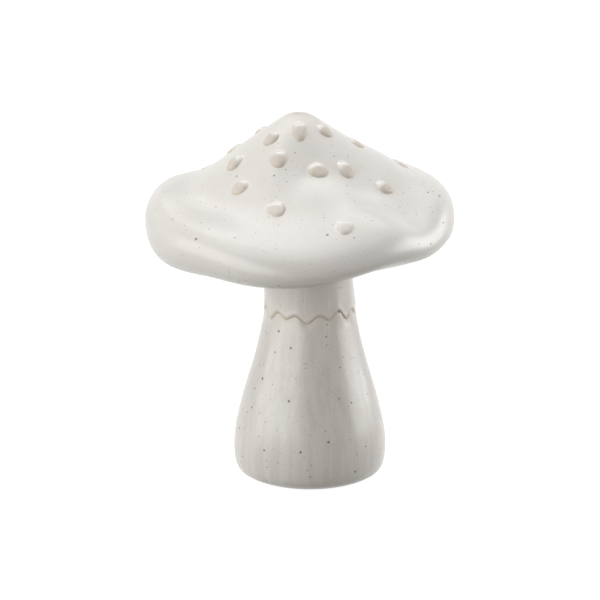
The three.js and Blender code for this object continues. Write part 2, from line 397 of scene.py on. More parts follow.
# Roughness of full glaze, and what each effect adds to it.
SATIN = 0.30
MOTTLE_DULL = 0.07
SPECK_DULL = 0.25
CLAY_DULL = 0.5
THIN_DULL = 0.35
THIN_SPAN = (0.05, 0.6)
THIN_GLOSS = 0.25
# Heights of the bump, as shares of its distance.
PEEL_HEIGHT = 0.5
PIT_HEIGHT = -0.35
GRIT_HEIGHT = 1.5


# %% Node group: specks of one size
def speck_group():
    inputs = [("Vector", "vector"), *floats("Cell", "Smallest", "Largest", "Share")]
    tree, given, out = new_tree("iron specks", "ShaderNodeTree", inputs, floats("Mask"))
    per_cell = calc(tree, "DIVIDE", 1.0, given["Cell"])
    cells = add(tree, "ShaderNodeTexVoronoi", {"Vector": given["Vector"], "Scale": per_cell},
                voronoi_dimensions="3D", feature="F1")
    draws = add(tree, "ShaderNodeSeparateColor", {0: cells.outputs["Color"]}).outputs
    away = times(tree, cells.outputs["Distance"], given["Cell"])
    spread = minus(tree, given["Largest"], given["Smallest"])
    radius = plus(tree, given["Smallest"], times(tree, draws[1], spread))
    disc = eased(tree, away, times(tree, radius, SPECK_CORE), radius, 1.0, 0.0)
    kept = calc(tree, "LESS_THAN", draws[0], given["Share"])
    strength = plus(tree, SPECK_FAINTEST, times(tree, draws[2], 1 - SPECK_FAINTEST))
    put(tree, out["Mask"], times(tree, disc, kept, strength))
    return tree


specks = speck_group()
print("node group:", specks.name)


# %% Node group: the speckled glaze
def mixed(tree, factor, a, b):
    """Colour a, turned into b by the factor."""
    made = add(tree, "ShaderNodeMix", data_type="RGBA", clamp_factor=True)
    put(tree, made.inputs["Factor"], factor)
    for name, color in (("A", a), ("B", b)):
        put(tree, [s for s in made.inputs if s.name == name and s.type == "RGBA"][0], color)
    return [s for s in made.outputs if s.type == "RGBA"][0]


def cloud(tree, vector, size, detail=2.0, rough=0.5):
    """Soft noise from 0 to 1 with lumps of this many mm."""
    inputs = {"Vector": vector, "Scale": 1 / size, "Detail": detail, "Roughness": rough}
    return add(tree, "ShaderNodeTexNoise", inputs, noise_dimensions="3D").outputs["Fac"]


def patches(tree, vector, kind, detail=2.0, rough=0.5):
    """The same noise as patches, 0 between them and 1 inside."""
    size, begin, full = kind
    return eased(tree, cloud(tree, vector, size, detail, rough), begin, full)


def glaze_group():
    inputs = [("Glaze", "color"), ("Shade", "color"), *floats("Thin", "Bare", *SPECKS, "Smears", "Runs")]
    outputs = [("Color", "color"), *floats("Roughness", "Gloss", "Height")]
    tree, given, out = new_tree("speckled glaze", "ShaderNodeTree", inputs, outputs)
    spot = add(tree, "ShaderNodeTexCoord").outputs["Object"]
    vector = stretched(tree, spot, 1 / MM)
    wander = add(tree, "ShaderNodeTexNoise", {"Vector": vector, "Scale": BEND_SCALE}).outputs["Color"]
    bent = vector_calc(tree, "ADD", vector, stretched(tree, wander, BEND))

    mottle = patches(tree, vector, MOTTLE, 4.0)
    tone = plus(tree, times(tree, patches(tree, vector, DRIFT), DRIFT_STRENGTH),
                times(tree, mottle, MOTTLE_STRENGTH))
    color = mixed(tree, tone, given["Glaze"], given["Shade"])
    downwards = vector_calc(tree, "MULTIPLY", vector, (1.0, 1.0, RUN_SQUEEZE))
    run = patches(tree, downwards, RUN, 3.0, 0.6)
    color = mixed(tree, times(tree, run, given["Runs"]), color, RUN_SHADE)
    ragged = plus(tree, cloud(tree, vector, RAGGED_SIZE, 3.0), 0.5)
    thin = times(tree, given["Thin"], ragged)
    color = mixed(tree, thin, color, THIN_GLAZE)
    color = mixed(tree, times(tree, patches(tree, bent, SMEAR), given["Smears"]), color, SMEAR_TINT)

    masks = {}
    for kind, (cell, least, largest, tint, strength) in SPECKS.items():
        masks[kind] = place(tree, specks, {"Vector": bent, "Cell": cell, "Smallest": least,
                                           "Largest": largest, "Share": given[kind]})["Mask"]
        color = mixed(tree, times(tree, masks[kind], strength), color, tint)
    grain = cloud(tree, vector, GRAIN_SIZE, 4.0, 0.7)
    clay = mixed(tree, grain, CLAY, FINE_SPECK)
    put(tree, out["Color"], mixed(tree, given["Bare"], color, clay))

    put(tree, out["Roughness"], plus(
        tree, SATIN, times(tree, mottle, MOTTLE_DULL), times(tree, masks["Dark"], SPECK_DULL),
        times(tree, given["Bare"], CLAY_DULL), times(tree, thin, THIN_DULL)))
    put(tree, out["Gloss"], eased(tree, thin, *THIN_SPAN, 1.0, THIN_GLOSS))
    put(tree, out["Height"], plus(
        tree, times(tree, cloud(tree, vector, PEEL_SIZE), PEEL_HEIGHT),
        times(tree, plus(tree, masks["Fine"], masks["Dark"]), PIT_HEIGHT),
        times(tree, grain, given["Bare"], GRIT_HEIGHT)))
    return tree


speckled_glaze = glaze_group()
print("node group:", speckled_glaze.name)

# %% Four finishes from the one glaze
BUMP_STRENGTH = 0.35
BUMP_DISTANCE = 0.12
GLAZE_IOR = 1.5
# Clear coats: weight and roughness.
CAP_COAT = (0.3, 0.34)
STEM_COAT = (0.35, 0.22)
SPOT_COAT = (1.0, 0.12)


def painted(tree, name):
    """A number that the mesh keeps for each of its points, in a shader tree."""
    return add(tree, "ShaderNodeAttribute", attribute_type="GEOMETRY", attribute_name=name).outputs["Fac"]


def glaze_material(name, coat, **shares):
    """A finish with this coat and these shares of specks, smears and runs."""
    material = bpy.data.materials.new(name)
    material.use_nodes = True
    tree = material.node_tree
    finish = place(tree, speckled_glaze, {
        "Glaze": GLAZE, "Shade": GLAZE_SHADE, "Thin": painted(tree, "thin"), "Bare": painted(tree, "bare"),
        **shares})
    bump = add(tree, "ShaderNodeBump", {"Height": finish["Height"], "Strength": BUMP_STRENGTH,
                                        "Distance": BUMP_DISTANCE * MM})
    for socket, value in {
        "Base Color": finish["Color"], "Roughness": finish["Roughness"], "Normal": bump.outputs["Normal"],
        "Coat Weight": times(tree, finish["Gloss"], coat[0]), "Coat Roughness": coat[1],
        "IOR": GLAZE_IOR, "Coat IOR": GLAZE_IOR,
    }.items():
        put(tree, tree.nodes["Principled BSDF"].inputs[socket], value)
    return material


cap_glaze = glaze_material("cap_glaze", CAP_COAT, Fine=0.7, Brown=0.48, Dark=0.2, Smears=0.3, Runs=0)
stem_glaze = glaze_material("stem_glaze", STEM_COAT, Fine=0.9, Brown=0.8, Dark=0.5, Smears=0.3, Runs=0.45)
skirt_glaze = glaze_material("skirt_glaze", STEM_COAT, Fine=0.8, Brown=0.45, Dark=0.14, Smears=0.2, Runs=0.3)
spot_glaze = glaze_material("spot_glaze", SPOT_COAT, Fine=0.4, Brown=0.2, Dark=0.08, Smears=0.1, Runs=0)
print("finishes:", [material.name for material in bpy.data.materials])

# %% [markdown]
# The cap starts as a plain round shell. Its outline runs from the apex, down a
# slightly hollow flank, over the brim and under it to the flat land that sits on the
# neck, and back inside at the thickness of the wall. The real one was cast, so it is
# hollow, and the shell is closed all round.

# %% Outline of the round cap
JOINT_Z = 75.7
BORE_R = 9.8
LAND_R = 16.5
CAP_RISE = 43.5
CAP_WALL = 3.6
RIM_R = 49.5
CAP_OUTLINE = [(0, CAP_RISE), (4, 42.8), (13.8, 36.3), (26.7, 27.9), (34.8, 22.3), (46, 17),
               (RIM_R, 9.2), (47, 1.9), (35.3, -2.2), (24.1, -2), (LAND_R, 0)]
CAP_ROW_STEP = 0.8
CAP_ROUNDING = 1.1
CAP_STEPS = 256
INNER_ROW_STEP = 4.5
APEX_THIN = 0.55
APEX_THIN_R = 4.2

cap_line = smooth_line(CAP_OUTLINE, CAP_ROW_STEP, CAP_ROUNDING)
cap_line[:, 0] = np.maximum(cap_line[:, 0], 0)
coarse_line = smooth_line(CAP_OUTLINE, INNER_ROW_STEP)
slopes = np.gradient(coarse_line, axis=0)
slopes /= np.hypot(*slopes.T)[:, None]
inner_line = coarse_line + CAP_WALL * slopes[:, ::-1] * (1, -1)
cap_table = np.vstack([
    rows(cap_line, thin=APEX_THIN * np.exp(-(cap_line[:, 0] / APEX_THIN_R) ** 2)),
    rows([(15, 0), (12, 0), (BORE_R, 0), (BORE_R, CAP_WALL)]),
    rows(inner_line[::-1][2:-1]),
    rows([(0, CAP_RISE - CAP_WALL)]),
])
cap_table[:, 1] += JOINT_Z
cap = turned("cap_shell", cap_table, CAP_STEPS)

# %% [markdown]
# Nobody's hand makes a perfectly round brim. The real one leans, has dents in its edge,
# and was pressed with a thumb along the front and half way down the flank. These are the
# shape's rule, so a tree applies it: one node group for a dent, one for a thumb press,
# and a third that adds them up for any point. The spots use the same group later, so
# they land on the cap wherever it has moved to. Where the presses leave a keel along the
# front edge, a few strokes of averaging round it, as a wet sponge does.


# %% Node groups: one dent of the brim and one thumb press on top
def bell(tree, away, width):
    """1 in the middle, and nearly 0 at twice the width."""
    share = calc(tree, "DIVIDE", away, width)
    return calc(tree, "EXPONENT", times(tree, share, share, -1.0))


def bell_around(tree, azimuth, at, width):
    """The same round the cap, by azimuth."""
    away = calc(tree, "WRAP", minus(tree, azimuth, at), math.pi, -math.pi)
    return bell(tree, away, width)


def dent_group():
    inputs = floats("Azimuth", "At", "Width", "Pull", "Up")
    tree, given, out = new_tree("brim dent", "GeometryNodeTree", inputs, floats("Pull", "Up"))
    fade = bell_around(tree, given["Azimuth"], given["At"], given["Width"])
    for key in ("Pull", "Up"):
        put(tree, out[key], times(tree, given[key], fade))
    return tree


def press_group():
    inputs = floats("Azimuth", "Reach", "At", "Width", "Distance", "Spread", "Depth")
    tree, given, out = new_tree("thumb press", "GeometryNodeTree", inputs, floats("Depth"))
    around = bell_around(tree, given["Azimuth"], given["At"], given["Width"])
    along = bell(tree, minus(tree, given["Reach"], given["Distance"]), given["Spread"])
    put(tree, out["Depth"], times(tree, given["Depth"], around, along))
    return tree


brim_dent, thumb_press = dent_group(), press_group()
print("node groups:", brim_dent.name, "and", thumb_press.name)

# %% Leans, dents and presses of this cap
# A lean is its rise in mm and the azimuth of its high side. A dent is its azimuth and width
# in degrees, its pull inwards and its rise in mm. A press is its azimuth and width, its
# distance from the axis, its spread along the slope and its depth.
BRIM_LEAN = (3.3, 48)
FLANK_LEAN = (0.9, 0)
BRIM_DENTS = [(-91, 39, -3.5, 0.9), (-55, 18, -0.8, 3), (-130, 18, 1.4, 1.6), (172, 23, 0.7, 3.3),
              (97, 16, 2.2, 1.5), (30, 15, 1.7, 0.3)]
THUMB_PRESSES = [(-36, 18, 44.5, 9, 5.6), (-62, 12, 48, 6, 2.5), (-87, 22, 45.5, 10, 3.6),
                 (-91, 39, 46, 13, 1.9), (-125, 21, 42, 9, 1.6), (-170, 11, 48.5, 9.5, -1.6),
                 (-46, 24, 28, 11, 4.4), (-79, 24, 19.5, 7, 3.8), (-100, 18, 30, 9, 2.9),
                 (-136, 24, 27.5, 11, 4.5), (65, 24, 27, 11, 3.5), (115, 24, 27, 11, 3.5)]
# Where each rule begins and is full: radii, and heights over the joint.
FLANK_R = (10, 27)
WAVE_R = (17, 46)
DENT_R = (26, 46)
TOP_FADE = (-1.5, 13)
LEAN_R = (18, 34)
LEAN_HEIGHT = (4.3, 22.3)
# How far each rule is applied. 1 is all the way, and 0 leaves the cap round.
AS_SHAPED = {"Lean": 1.0, "Dents": 1.0, "Presses": 1.0}


# %% Node group: where a point of the round cap ends up
def form_group():
    inputs = [("Position", "vector"), *floats(*AS_SHAPED)]
    tree, given, out = new_tree("cap form", "GeometryNodeTree", inputs, [("Position", "vector")])
    at = add(tree, "ShaderNodeSeparateXYZ", {0: given["Position"]}).outputs
    reach = reach_of(tree, given["Position"])
    azimuth = calc(tree, "ARCTAN2", at[1], at[0])
    height = minus(tree, at[2], JOINT_Z * MM)

    def leaning(rise, high):
        swing = calc(tree, "COSINE", minus(tree, azimuth, math.radians(high)))
        return times(tree, swing, rise * MM, given["Lean"])

    dents = [place(tree, brim_dent, {"Azimuth": azimuth, "At": math.radians(where),
                                     "Width": math.radians(width), "Pull": pull * MM, "Up": up * MM})
             for where, width, pull, up in BRIM_DENTS]
    pull, up = (times(tree, plus(tree, *(dent[key] for dent in dents)), given["Dents"])
                for key in ("Pull", "Up"))
    presses = [place(tree, thumb_press, {
        "Azimuth": azimuth, "Reach": reach, "At": math.radians(where), "Width": math.radians(width),
        "Distance": distance * MM, "Spread": spread * MM, "Depth": depth * MM})["Depth"]
        for where, width, distance, spread, depth in THUMB_PRESSES]
    press = times(tree, plus(tree, *presses), times(tree, given["Presses"], -1.0))

    wave, edge, upper = faded(tree, reach, WAVE_R), faded(tree, reach, DENT_R), faded(tree, height, TOP_FADE)
    flank = times(tree, faded(tree, reach, FLANK_R), faded(tree, reach, (FLANK_R[1], WAVE_R[1]), 1.0, 0.0))
    lift = plus(tree, times(tree, leaning(*BRIM_LEAN), wave), times(tree, up, edge),
                times(tree, leaning(*FLANK_LEAN), flank, upper), times(tree, press, upper))
    lean = times(tree, faded(tree, reach, LEAN_R, 1.0, 0.0), faded(tree, height, LEAN_HEIGHT, 1.0, 0.0))
    new_reach = minus(tree, reach, times(tree, pull, edge))
    x = plus(tree, times(tree, new_reach, calc(tree, "COSINE", azimuth)), times(tree, lean, STEM_X))
    y = times(tree, new_reach, calc(tree, "SINE", azimuth))
    z = plus(tree, at[2], lift)
    put(tree, out["Position"], add(tree, "ShaderNodeCombineXYZ", {0: x, 1: y, 2: z}).outputs[0])
    return tree


cap_form = form_group()
print("node group:", cap_form.name, "with", len(BRIM_DENTS), "dents and", len(THUMB_PRESSES), "presses")

# %% Tree: shape the cap
UNEVEN_SIZE = 16.0
UNEVEN_DEPTH = 0.22
UNEVEN_BIAS = 1.45
UNEVEN_START_R = (19, 27)
SPONGE_STROKES = 18
SPONGE_R = (38, 46)
SPONGE_FRONT = (8, 30)


def on_the_cap(tree, given):
    """Where the form of the cap takes each point."""
    form = {key: given[key] for key in AS_SHAPED}
    return place(tree, cap_form, {"Position": here(tree), **form})["Position"]


def unevenness(tree, depth, size, bias, mask):
    """An offset along the normal, as uneven as a hand leaves it. Bias 1 is in and out alike, 2 all in."""
    normal = add(tree, "GeometryNodeInputNormal").outputs[0]
    noise = add(tree, "ShaderNodeTexNoise", {"Vector": here(tree), "Scale": 1 / (size * MM), "Detail": 1.0})
    swing = minus(tree, times(tree, noise.outputs["Fac"], 2.0), bias)
    return stretched(tree, normal, times(tree, swing, depth, mask))


def sponged(tree, geometry, strokes):
    """The front of the brim rounded, as with a wet sponge: each point moves towards its neighbours."""
    where = here(tree)
    towards_front = times(tree, add(tree, "ShaderNodeSeparateXYZ", {0: where}).outputs[1], -1.0)
    share = times(tree, faded(tree, reach_of(tree, where), SPONGE_R),
                  faded(tree, towards_front, SPONGE_FRONT))
    softer = add(tree, "GeometryNodeBlurAttribute", {"Value": where, "Iterations": strokes, "Weight": share},
                 data_type="FLOAT_VECTOR")
    return move(tree, geometry, Position=softer.outputs[0])


def cap_tree():
    tree, given, out = shape_tree("shape the cap", [*AS_SHAPED, "Unevenness", "Sponge strokes"])
    formed = move(tree, given["Geometry"], Position=on_the_cap(tree, given))
    mask = faded(tree, reach_of(tree, here(tree)), UNEVEN_START_R)
    offset = unevenness(tree, given["Unevenness"], UNEVEN_SIZE, UNEVEN_BIAS, mask)
    rounded = sponged(tree, move(tree, formed, Offset=offset), given["Sponge strokes"])
    normal = add(tree, "GeometryNodeInputNormal").outputs[0]
    kept = store(tree, rounded, "smooth_normal", normal, "FLOAT_VECTOR")
    return close_tree(tree, kept, given, out)


grow(cap, cap_tree(), {**AS_SHAPED, "Unevenness": UNEVEN_DEPTH * MM,
                       "Sponge strokes": float(SPONGE_STROKES), "Glaze": cap_glaze})

# %% [markdown]
# The spots are small pellets of clay, laid on the cap and pressed with a finger from
# above. So each is a low mound with a flat middle. Its uphill side is a soft ramp that
# merges with the slope and catches the light, and its downhill side is steeper. Along its
# edge the glaze ran thin, and the tan clay shows through. On the downhill side and over
# the lower half that tan is made stronger, as painted shade.
# One pellet is drawn as a flat disc of rings that know how high they stand, and a tree
# copies it to each place, turns it to the slope and lays it on the cap by casting a ray
# through every point.

# %% One pellet: how high it stands and how thin its glaze lies
PELLET_STEPS = 48
PELLET_TOP = 1.15
PELLET_EDGE = 0.03
PELLET_TILT = 0.34
DOME_POWER = 3.3
DOME_CHANGE = 0.9
SHOULDER_POWER = 0.95
SHOULDER_CHANGE = 0.2
# Thin glaze: place and width of its line as shares of the radius, and how thin it is. The
# tan added downhill and on the lower half is painted shade.
EDGE_LINE = (0.93, 0.08)
EDGE_THIN = 0.15
DOWNHILL_EDGE_SHADE = 0.4
PAINTED_LOWER_SHADE = 0.6
PELLET_SHARES = (0.0, 0.14, 0.27, 0.39, 0.5, 0.6, 0.68, 0.75, 0.81, 0.86, 0.9, 0.935, 0.965, 0.985, 1.0,
                 1.03, 1.08, 1.16, 1.28)
EDGE_DROP = 0.12
EDGE_END = 1.3
# Spans of the fades. Downhill is 1 at the lower end of a pellet and -1 at its upper end.
EDGE_DOWNHILL = (-0.7, 0.9)
LOWER_HALF = (-0.6, 0.0)
RIM_FADE = (0.9, 1.1)
UNDER_RINGS = ((1.25, -0.5), (0.7, -0.7), (0.0, -0.7))


def smooth_between(value, low, high):
    """0 below low, 1 above high, and a smooth step between them."""
    share = min(max((value - low) / (high - low), 0.0), 1.0)
    return share * share * (3 - 2 * share)


def pellet_rise(share, turn):
    """Height of the mound over the cap in mm. Turn 0 is downhill, where a short ledge ends it."""
    downhill = math.cos(turn)
    if share >= 1:
        return PELLET_EDGE - EDGE_DROP * smooth_between(share, 1.0, EDGE_END)
    power = DOME_POWER + DOME_CHANGE * downhill
    dome = (1 - share**power) ** (SHOULDER_POWER - SHOULDER_CHANGE * downhill)
    return PELLET_EDGE + (PELLET_TOP - PELLET_EDGE) * dome * (1 - PELLET_TILT * share * downhill)


def pellet_thin_and_shade(share, turn):
    """Thin glaze as a line along the edge, made strongest downhill by painted shade, and painted shade as
    tan on the lower half.
    """
    downhill = math.cos(turn)
    line = math.exp(-(((share - EDGE_LINE[0]) / EDGE_LINE[1]) ** 2))
    line *= EDGE_THIN + DOWNHILL_EDGE_SHADE * smooth_between(downhill, *EDGE_DOWNHILL)
    inside = 1 - smooth_between(share, *RIM_FADE)
    return line + PAINTED_LOWER_SHADE * smooth_between(share * downhill, *LOWER_HALF) * inside


# %% The pellet as a flat disc of radius 1
def pellet_mesh():
    corners, heights, thins, turns, counts = [], [], [], [], []
    for share, under in [(share, None) for share in PELLET_SHARES] + list(UNDER_RINGS):
        counts.append(1 if share == 0 else PELLET_STEPS)
        for step in range(counts[-1]):
            turn = 2 * math.pi * step / PELLET_STEPS
            corners.append((share * math.cos(turn), share * math.sin(turn), 0))
            heights.append((pellet_rise(share, turn) if under is None else under) * MM)
            thins.append(pellet_thin_and_shade(share, turn) if under is None else 0.0)
            turns.append(turn)
    return ring_mesh("pellet", corners, counts, {"rise": heights, "thin": thins, "turn": turns})


pellet = stand("pellet", pellet_mesh())
print("faces of one pellet:", len(pellet.data.polygons))

# %% Places of the pellets: azimuth, distance from the apex, length down the slope, width
PELLETS = [
    (-88, 8.7, 8.2, 5), (-136, 11.8, 6.2, 5), (-35, 9.8, 5.8, 4.6), (-159, 21.5, 6.4, 5.4),
    (-111, 17.5, 6.6, 5.6), (-72, 19, 6, 6.5), (-46, 21.1, 6.4, 5.8), (-137, 25, 6.4, 5.8),
    (-30, 30.8, 5.8, 4.8), (-103, 30.7, 6.2, 6.3), (-71, 40.6, 6, 6), (165, 21.3, 6.2, 5.6),
    (157, 13, 5.4, 4.8), (-3, 18, 6, 5), (12, 33, 6.2, 5.8), (64, 13, 6.4, 5.6),
    (112, 18, 6.4, 6), (54, 25.5, 6, 6.2), (90, 29.5, 6.6, 6), (128, 27.5, 6.2, 5.8),
    (148, 34, 6, 6.2), (72, 42, 6.2, 6),
]
# Pellets at the outlines stand less tall, and some in front show less tan, partly as a painted highlight:
# shares by number.
FLATTER = {11: 0.6, 12: 0.6, 13: 0.65, 14: 0.6, 20: 0.5}
PALER_FOR_HIGHLIGHT = {0: 0.8, 9: 0.65, 10: 0.4}


def seed_points():
    """A loose point for each pellet, on the round cap, with its size and its shares of height and tan."""
    brim = int(np.argmax(cap_line[:, 0]))
    points = []
    for azimuth, distance, _, _ in PELLETS:
        turn = math.radians(azimuth)
        height = JOINT_Z + np.interp(distance, cap_line[:brim, 0], cap_line[:brim, 1])
        points.append((distance * math.cos(turn) * MM, distance * math.sin(turn) * MM, height * MM))
    mesh = bpy.data.meshes.new("seeds")
    mesh.from_pydata(points, [], [])
    keep(mesh, {"length": [entry[2] * MM for entry in PELLETS],
                "width": [entry[3] * MM for entry in PELLETS],
                "tall": [FLATTER.get(index, 1.0) for index in range(len(PELLETS))],
                "tan": [PALER_FOR_HIGHLIGHT.get(index, 1.0) for index in range(len(PELLETS))]})
    return mesh


spots = stand("cap_spots", seed_points())
print("seeds:", len(spots.data.vertices))

# %% Tree: press the pellets on the cap
SEED = 7
WOBBLE = 0.045
RAY_START = 6.0
RAY_LENGTH = 50.0


def pellet_tree():
    tree, given, out = shape_tree("press the pellets", [*AS_SHAPED, "Wobble", "Ray start"],
                                  ("Cap", "object"), ("Pellet", "object"))
    cap_surface, blank = (add(tree, "GeometryNodeObjectInfo", {"Object": given[key]}).outputs["Geometry"]
                          for key in ("Cap", "Pellet"))
    where = here(tree)
    seeds = move(tree, given["Geometry"], Position=on_the_cap(tree, given))

    cap_normal = read(tree, "smooth_normal", "FLOAT_VECTOR")
    nearest = add(tree, "GeometryNodeSampleNearestSurface", {
        "Mesh": cap_surface, "Value": cap_normal, "Sample Position": where}, data_type="FLOAT_VECTOR")
    seeds = store(tree, seeds, "seed_normal", nearest.outputs["Value"], "FLOAT_VECTOR")
    seeds = store(tree, seeds, "seed_place", where, "FLOAT_VECTOR")
    draw = add(tree, "FunctionNodeRandomValue", {"Min": 0.0, "Max": 2 * math.pi, "Seed": SEED},
               data_type="FLOAT").outputs["Value"]
    seeds = store(tree, seeds, "phase", draw, "FLOAT")

    seed_normal = read(tree, "seed_normal", "FLOAT_VECTOR")
    downhill = vector_calc(tree, "MULTIPLY", where, (1.0, 1.0, 0.0))
    axes = {"Primary Axis": seed_normal, "Secondary Axis": downhill}
    turned = add(tree, "FunctionNodeAxesToRotation", axes, primary_axis="Z", secondary_axis="X").outputs[0]
    length, width = (times(tree, read(tree, key), 0.5) for key in ("length", "width"))
    size = add(tree, "ShaderNodeCombineXYZ", {0: length, 1: width, 2: 1.0}).outputs[0]
    copies = add(tree, "GeometryNodeInstanceOnPoints", {
        "Points": seeds, "Instance": blank, "Rotation": turned, "Scale": size})
    real = add(tree, "GeometryNodeRealizeInstances", {"Geometry": copies.outputs[0]}).outputs[0]

    centre = read(tree, "seed_place", "FLOAT_VECTOR")
    turn, phase = read(tree, "turn"), read(tree, "phase")
    oval = calc(tree, "SINE", plus(tree, times(tree, turn, 2.0), phase))
    corner = calc(tree, "SINE", minus(tree, times(tree, turn, 3.0), phase))
    uneven = times(tree, plus(tree, oval, corner), given["Wobble"])
    from_centre = vector_calc(tree, "SUBTRACT", where, centre)
    outline = vector_calc(tree, "ADD", where, stretched(tree, from_centre, uneven))
    shaped = move(tree, real, Position=outline)

    back_off = stretched(tree, seed_normal, given["Ray start"])
    ray = add(tree, "GeometryNodeRaycast", {
        "Target Geometry": cap_surface, "Attribute": cap_normal,
        "Source Position": vector_calc(tree, "ADD", where, back_off),
        "Ray Direction": stretched(tree, seed_normal, -1.0), "Ray Length": RAY_LENGTH * MM},
        data_type="FLOAT_VECTOR")
    rise = read(tree, "rise")
    above = times(tree, calc(tree, "MAXIMUM", rise, 0.0), read(tree, "tall"))
    rise = plus(tree, above, calc(tree, "MINIMUM", rise, 0.0))
    raised = stretched(tree, ray.outputs["Attribute"], rise)
    landed = vector_calc(tree, "ADD", ray.outputs["Hit Position"], raised)
    pressed = move(tree, shaped, Position=landed)
    # Thin glaze of the pellets, with painted shade on their downhill sides, times each pellet's share of
    # tan. The paler pellets stand partly for their highlights.
    thin = times(tree, read(tree, "thin"), read(tree, "tan"))
    return close_tree(tree, store(tree, pressed, "thin", thin, "FLOAT"), given, out)


grow(spots, pellet_tree(), {**AS_SHAPED, "Cap": cap, "Pellet": pellet, "Wobble": WOBBLE,
                            "Ray start": RAY_START * MM, "Glaze": spot_glaze})
bpy.data.objects.remove(pellet)

# %% [markdown]
# The hem of the band and the ledge cut for it in the stem share one wavy line of
# thirteen arcs that meet in low cusps, some arcs deeper than others. The rows of both
# bodies say how far they follow that line, and one tree lifts them all. The band is
# pressed on, so its lip is rounded and stands a little proud of the stem.

# %% Tree: scallop the hem
HEM_CUSP_Z = JOINT_Z - 21.2
SCALLOPS = 13
# Waves in the depth of the arcs and in their height: how many go round, and azimuth of a crest.
DEPTH_WAVE = (3, -46)
DRIFT_WAVE = (6, -120)
HEM_SOFTNESS = 1.2
NECK_LEAN_Z = (53, 68)
STEM_UNEVEN_SIZE = 14.0
STEM_UNEVEN_BIAS = 1.0
STEM_UNEVEN_FROM = (6, 14)
STEM_UNEVEN_TO = (66, 74)
HEM_GAP = 0.008
RING_STEPS = SCALLOPS * 20
HEM_VALUES = {"Scallops": float(SCALLOPS), "First cusp": math.radians(-93), "Depth": 2.1 * MM,
              "Depth change": 0.5 * MM, "Drift": 0.5 * MM, "Neck lean": -0.45 * MM,
              "Unevenness": 0.12 * MM}


def hem_tree():
    tree, given, out = shape_tree("scallop the hem", HEM_VALUES)
    at = add(tree, "ShaderNodeSeparateXYZ", {0: here(tree)}).outputs
    azimuth = calc(tree, "ARCTAN2", at[1], at[0])
    from_cusp = times(tree, minus(tree, azimuth, given["First cusp"]), given["Scallops"])
    sine = calc(tree, "SINE", times(tree, from_cusp, 0.5))
    bent = calc(tree, "SQRT", plus(tree, times(tree, sine, sine), HEM_SOFTNESS))
    lowest, highest = math.sqrt(HEM_SOFTNESS), math.sqrt(1 + HEM_SOFTNESS)
    arch = calc(tree, "DIVIDE", minus(tree, bent, lowest), highest - lowest)

    def wave(count, crest):
        turn = times(tree, minus(tree, azimuth, math.radians(crest)), float(count))
        return calc(tree, "COSINE", turn)

    change = times(tree, wave(*DEPTH_WAVE), given["Depth change"])
    drift = times(tree, wave(*DRIFT_WAVE), given["Drift"])
    line = plus(tree, times(tree, arch, plus(tree, given["Depth"], change)), drift)
    sideways = times(tree, faded(tree, at[2], NECK_LEAN_Z), given["Neck lean"])
    step = add(tree, "ShaderNodeCombineXYZ", {0: sideways, 2: times(tree, line, read(tree, "hem"))})
    cut = move(tree, given["Geometry"], Offset=step.outputs[0])

    mask = times(tree, faded(tree, at[2], STEM_UNEVEN_FROM), faded(tree, at[2], STEM_UNEVEN_TO, 1.0, 0.0))
    offset = unevenness(tree, given["Unevenness"], STEM_UNEVEN_SIZE, STEM_UNEVEN_BIAS, mask)
    return close_tree(tree, move(tree, cut, Offset=offset), given, out)


scallop_the_hem = hem_tree()
print("tree:", scallop_the_hem.name)

# %% [markdown]
# The stem is a hollow bell. Its outline swells from the shoulder under the hem to a
# belly near the table and rolls under to a narrow foot ring, which is wiped bare of
# glaze so that it doesn't stick in the kiln. Inside the ring the floor is recessed and
# has the vent that a closed casting needs. Above the shoulder the neck is cut back to
# make room for the band.

# %% The stem
NECK_R = 12.3
SHOULDER_R = 14.6
SHOULDER_Z = HEM_CUSP_Z - 2.9
BELLY_Z = 10
SWELL = (9.9, 9.3, 7.8, 5.9, 3.8, 2, 0.5)
BELLY_R = SHOULDER_R + SWELL[0]
FOOT_R = BELLY_R - 7.5
FOOT_INNER_R = FOOT_R - 2.8
STEM_WALL = 4.2
RECESS_Z = 1.5
FLOOR_Z = 5.0
VENT_R = 4
SEAT_Z = JOINT_Z - 0.05
LIP_Z = HEM_CUSP_Z - 1.1
SHOULDER_SHARES = (0, 0.06, 0.14, 0.24, 0.36, 0.5, 0.65, 0.82)
SHOULDER_THIN = (0.08, 0.02, 0, 0, 0, 0, 0, 0)
SIDE_STEP = 0.7
SIDE_ROUNDING = 1.0
# The roll under the belly: distances in from it, and heights.
FOOT_ROLL = ((3.2, 1.6), (0.8, 3.9))
FOOT_THIN = 0.5
FOOT_THIN_Z = 1.1
WIPED_Z = 0.5
# The ledge: thin glaze on its rows, and the lip's distances in from the shoulder and drops.
LEDGE_THIN = (0, 0, 0.75, 0.75, 0.75, 0.6, 0.4, 0.2, 0.1)
LEDGE_LIP = ((0.6, HEM_GAP), (0.29, HEM_GAP), (0.26, 0.1), (0.2, 0.22), (0.13, 0.36), (0.07, 0.54),
             (0.02, 0.78))

swell = [(SHOULDER_R + extra, BELLY_Z + (SHOULDER_Z - BELLY_Z) * index / (len(SWELL) - 1))
         for index, extra in enumerate(SWELL)]
roll = [(BELLY_R - inset, height) for inset, height in FOOT_ROLL]
side = smooth_line([(FOOT_R, 0), *roll, *swell], SIDE_STEP, SIDE_ROUNDING)[::-1]
lip, belly = np.array((SHOULDER_R, LIP_Z, 1)), np.array((*side[0], 0))
shoulder = np.array([lip + (belly - lip) * share for share in SHOULDER_SHARES])
ledge = np.array([(NECK_R, SEAT_Z, 0), (NECK_R, HEM_CUSP_Z - HEM_GAP, 1),
                  *((SHOULDER_R - inset, HEM_CUSP_Z - drop, 1) for inset, drop in LEDGE_LIP)])
inside = [(radius - STEM_WALL, height) for radius, height in swell]
